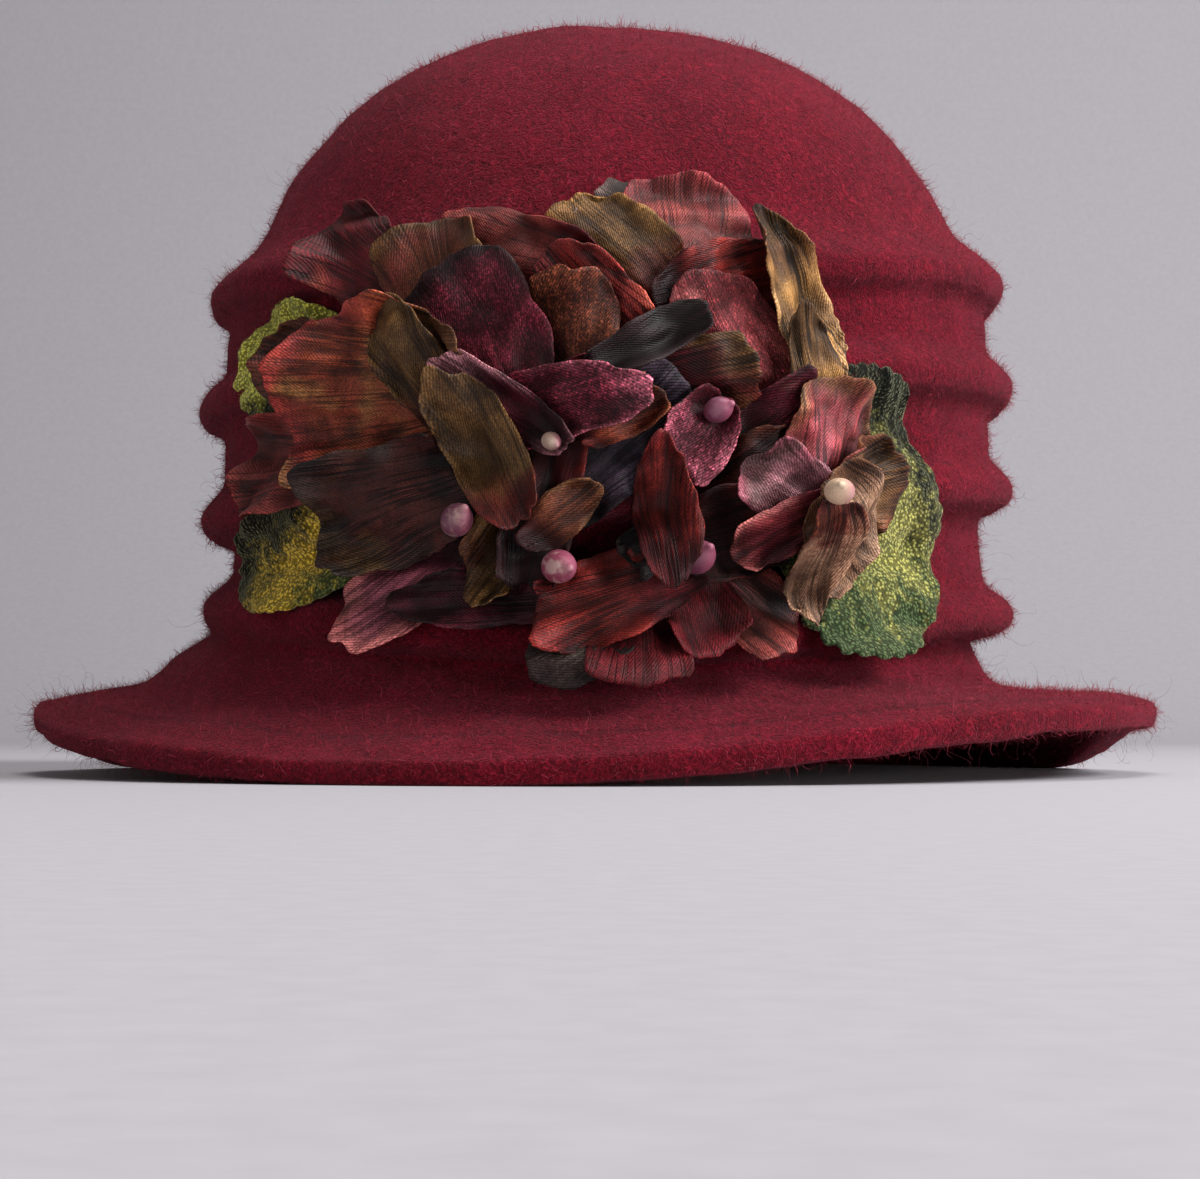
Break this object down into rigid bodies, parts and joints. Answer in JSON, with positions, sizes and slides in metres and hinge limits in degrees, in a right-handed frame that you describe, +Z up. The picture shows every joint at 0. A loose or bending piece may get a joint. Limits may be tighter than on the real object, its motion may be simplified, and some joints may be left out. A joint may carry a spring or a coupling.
{
  "type": "cloche hat",
  "caption": "Wool felt cloche hat with a tucked crown, a drooping brim and a cloth flower corsage on the front.",
  "frame": {"origin": "middle of the whole hat's box, on the surface that the rim rests on", "axes": "+Z up, the corsage faces -Y, +X to the right as seen from the front"},
  "size_m": [0.2512, 0.2658, 0.1685],
  "materials": {
    "wool_felt": "boiled wool felt, brushed and fuzzy, matt",
    "velvet_leaf": "cotton velvet, printed in yellow green with a dark edge",
    "petal_charcoal": "crushed satin petal cloth, charcoal, soft sheen",
    "petal_rose": "crushed satin petal cloth, rose, soft sheen",
    "petal_olive": "crushed satin petal cloth, olive, soft sheen",
    "petal_dusty": "crushed satin petal cloth, dusty, soft sheen",
    "petal_wine": "crushed satin petal cloth, wine, soft sheen",
    "petal_brown": "crushed satin petal cloth, brown, soft sheen",
    "petal_rust": "crushed satin petal cloth, rust, soft sheen",
    "petal_gold": "crushed satin petal cloth, gold, soft sheen",
    "petal_mauve": "crushed satin petal cloth, mauve, soft sheen",
    "petal_umber": "crushed satin petal cloth, umber, soft sheen",
    "petal_coral": "crushed satin petal cloth, coral, soft sheen",
    "petal_plum": "crushed satin petal cloth, plum, soft sheen",
    "petal_navy": "crushed satin petal cloth, navy, soft sheen",
    "petal_khaki": "crushed satin petal cloth, khaki, soft sheen",
    "berry_mauve": "lacquered composition, speckled mauve, slight gloss",
    "berry_cream": "lacquered composition, cream with a pink blush, slight gloss"
  },
  "bodies": {
    "root": {"felt_hat": "wool_felt", "leaf_upper_left": "velvet_leaf", "leaf_lower_left": "velvet_leaf", "leaf_right": "velvet_leaf", "petal_charcoal_top": "petal_charcoal", "petal_rose_top": "petal_rose", "petal_khaki_top": "petal_olive", "petal_dusty_top": "petal_dusty", "petal_wine_top_left": "petal_wine", "petal_taupe_top": "petal_olive", "petal_dusty_left": "petal_dusty", "petal_brown_left": "petal_brown", "petal_rust_right": "petal_rust", "petal_rosy_right": "petal_rose", "petal_gold_right_upper": "petal_gold", "petal_gold_right_lower": "petal_gold", "petal_violet_lower_left": "petal_mauve", "petal_silver_bottom": "petal_charcoal", "petal_wine_bottom": "petal_wine", "petal_brown_lower_right": "petal_umber", "petal_wine_lower_right": "petal_wine", "petal_plum_bottom": "petal_umber", "petal_coral_centre": "petal_coral", "petal_brown_glitter": "petal_brown", "petal_plum_velvet": "petal_plum", "petal_main_left": "petal_brown", "petal_olive_left_overlap": "petal_olive", "petal_charcoal_left": "petal_umber", "petal_coral_lower": "petal_rust", "petal_olive_lower": "petal_olive", "petal_wine_olive_edge": "petal_wine", "petal_black_fold": "petal_charcoal", "petal_navy": "petal_navy", "petal_plum_right_centre": "petal_plum", "petal_brown_fold_right": "petal_umber", "petal_umber_right": "petal_umber", "petal_maroon_inner": "petal_wine", "petal_tan_inner": "petal_brown", "petal_brown_curl": "petal_rust", "petal_mauve_glitter": "petal_mauve", "petal_plum_triangle": "petal_plum", "petal_plum_strip": "petal_plum", "petal_olive_long": "petal_olive", "petal_upright_rust": "petal_rust", "petal_rose_right": "petal_rose", "petal_mauve_right": "petal_mauve", "petal_rose_small_right": "petal_rose", "petal_khaki_right_upper": "petal_khaki", "petal_beige_right": "petal_khaki", "petal_beige_point": "petal_khaki", "berry_lower_left": "berry_mauve", "berry_lower_middle": "berry_mauve", "berry_lower_right": "berry_mauve", "berry_centre_right": "berry_mauve", "berry_centre": "berry_cream", "berry_right": "berry_cream"}
  },
  "joints": []
}
